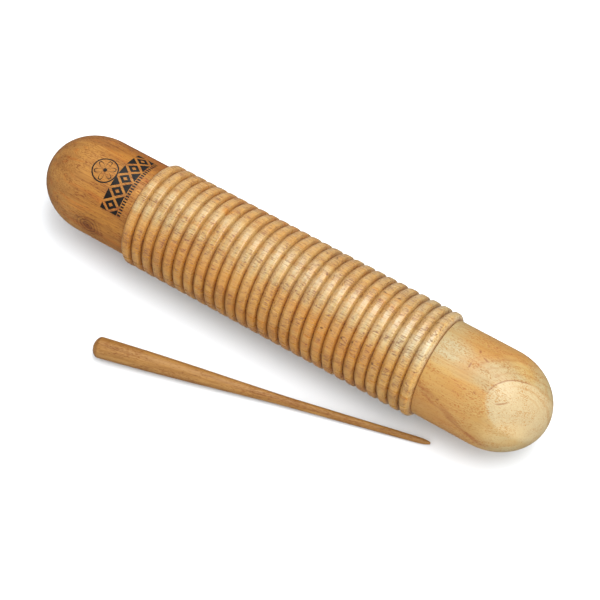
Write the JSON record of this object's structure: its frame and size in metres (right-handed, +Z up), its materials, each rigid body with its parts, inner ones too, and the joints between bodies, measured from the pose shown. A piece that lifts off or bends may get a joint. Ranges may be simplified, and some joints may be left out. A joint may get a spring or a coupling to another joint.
{
  "type": "guiro",
  "caption": "Turned wooden guiro with ribs along its middle and smooth domed ends, lying on its side, with a tapered wooden scraper beside it.",
  "frame": {"origin": "on the floor, under the middle of the guiro's middle rib", "axes": "+X along the guiro's axis, towards its pale end cap; +Z up; the scraper lies on the -Y side"},
  "size_m": [0.3302, 0.1164, 0.0635],
  "materials": {
    "ribbed_wood": "pale straight-grained hardwood, satin lacquer",
    "brown_cap_wood": "warm brown hardwood with a knot and a small printed ornament, satin lacquer",
    "pale_cap_wood": "straw-coloured hardwood with growth rings and brown streaks, satin lacquer",
    "scraper_wood": "honey-brown hardwood, smooth, thin matt varnish"
  },
  "bodies": {
    "guiro": {"ribbed_body": "ribbed_wood", "left_end_cap": "brown_cap_wood", "right_end_cap": "pale_cap_wood"},
    "scraper": {"scraper": "scraper_wood"}
  },
  "joints": [
    {"name": "scraper_lift", "type": "slide", "parent": "guiro", "child": "scraper", "axis": [0, -0.5, 0.866], "range_m": [0, 0.15]}
  ]
}
